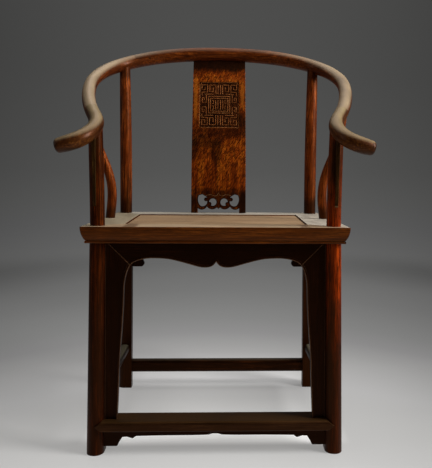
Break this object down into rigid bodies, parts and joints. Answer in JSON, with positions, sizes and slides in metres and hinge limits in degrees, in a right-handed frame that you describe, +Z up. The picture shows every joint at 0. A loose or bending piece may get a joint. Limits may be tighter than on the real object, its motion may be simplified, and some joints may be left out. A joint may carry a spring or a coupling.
{
  "type": "round_back_armchair",
  "caption": "Round-back joined hardwood armchair: a sweeping crest rail forms back and arms with hand grips, curved splat, floating seat board, arched front apron and footrest.",
  "frame": {"origin": "on the floor, under the middle of the chair's outline", "axes": "+Z is up, -Y is the way the sitter faces, +X is the right-hand side seen from the front"},
  "size_m": [0.6988, 0.559, 1.0072],
  "materials": {
    "rail_wood": "worn and polished red-brown hardwood, hand-rubbed",
    "leg_wood": "dark red-brown lacquered hardwood",
    "splat_wood": "orange-brown polished hardwood with open grain",
    "seat_wood": "worn brown hardwood seat frame",
    "panel_wood": "pale worn hardwood seat board, dry and scuffed",
    "hidden_wood": "plain unpolished secondary wood",
    "peg_wood": "dark end-grain hardwood pins"
  },
  "bodies": {
    "root": {"back_splat": "splat_wood", "crest_rail_arm_left": "rail_wood", "crest_rail_arm_right": "rail_wood", "crest_rail_back": "rail_wood", "crest_rail_hand_left": "rail_wood", "crest_rail_hand_right": "rail_wood", "footrest": "leg_wood", "footrest_apron": "leg_wood", "front_apron_left": "leg_wood", "front_apron_right": "leg_wood", "front_apron_top": "leg_wood", "front_leg_left": "leg_wood", "front_leg_right": "leg_wood", "post_spandrel_left": "leg_wood", "post_spandrel_right": "leg_wood", "rear_apron": "leg_wood", "rear_ear_left": "leg_wood", "rear_ear_right": "leg_wood", "rear_leg_left": "leg_wood", "rear_leg_right": "leg_wood", "rear_stretcher": "leg_wood", "scarf_wedges": "peg_wood", "seat_batten_left": "hidden_wood", "seat_batten_right": "hidden_wood", "seat_panel": "panel_wood", "seat_rail_front": "seat_wood", "seat_rail_left": "seat_wood", "seat_rail_rear": "seat_wood", "seat_rail_right": "seat_wood", "side_apron_left": "leg_wood", "side_apron_right": "leg_wood", "side_ear_front_left": "leg_wood", "side_ear_front_right": "leg_wood", "side_ear_rear_left": "leg_wood", "side_ear_rear_right": "leg_wood", "side_post_left": "rail_wood", "side_post_right": "rail_wood", "side_stretcher_left": "leg_wood", "side_stretcher_right": "leg_wood"}
  },
  "joints": []
}
